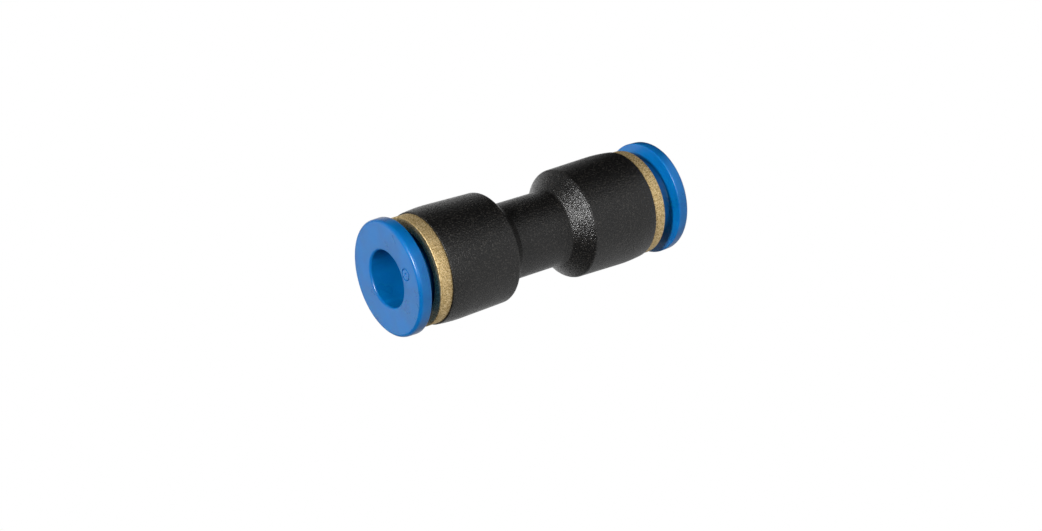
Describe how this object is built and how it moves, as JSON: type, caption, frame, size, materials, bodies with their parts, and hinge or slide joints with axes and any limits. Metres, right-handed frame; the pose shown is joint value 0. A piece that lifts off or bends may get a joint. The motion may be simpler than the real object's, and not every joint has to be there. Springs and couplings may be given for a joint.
{
  "type": "push-in tube union",
  "caption": "Straight push-in union for plastic tube: a black waisted body with a brass ring and a blue release sleeve at each end.",
  "frame": {"origin": "centre of the lower sleeve's flat face, on which the union stands on end", "axes": "+Z along the tube axis, from the lower sleeve to the upper sleeve; +X and +Y across it"},
  "size_m": [0.0126, 0.0126, 0.0361],
  "materials": {
    "body_plastic": "fine spark-eroded grain",
    "brass": "dull turned brass with bright turned edges",
    "sleeve_plastic": "moulded acetal, semi-gloss",
    "claw_steel": "stamped stainless strip",
    "spacer_plastic": "moulded acetal",
    "seal_rubber": "moulded nitrile rubber"
  },
  "bodies": {
    "housing": {"union_body": "body_plastic", "upper_brass_ring": "brass", "lower_brass_ring": "brass", "upper_spacer": "spacer_plastic", "lower_spacer": "spacer_plastic", "upper_seal": "seal_rubber", "lower_seal": "seal_rubber"},
    "upper_claws": {"upper_claw_ring": "claw_steel"},
    "upper_sleeve": {"upper_release_sleeve": "sleeve_plastic"},
    "lower_claws": {"lower_claw_ring": "claw_steel"},
    "lower_sleeve": {"lower_release_sleeve": "sleeve_plastic"}
  },
  "joints": [
    {"name": "upper_sleeve_turn", "type": "hinge", "parent": "housing", "child": "upper_claws", "pos_m": [0, 0, 0.028], "axis": [0, 0, 1], "continuous": true},
    {"name": "upper_sleeve_press", "type": "slide", "parent": "upper_claws", "child": "upper_sleeve", "axis": [0, 0, -1], "range_m": [-0.0007, 0.0013], "stiffness_N_per_m": 1000, "deforming": ["upper_claw_ring"]},
    {"name": "lower_sleeve_turn", "type": "hinge", "parent": "housing", "child": "lower_claws", "pos_m": [0, 0, 0.0085], "axis": [0, 0, 1], "continuous": true},
    {"name": "lower_sleeve_press", "type": "slide", "parent": "lower_claws", "child": "lower_sleeve", "axis": [0, 0, 1], "range_m": [-0.0003, 0.0017], "stiffness_N_per_m": 1000, "deforming": ["lower_claw_ring"]}
  ]
}
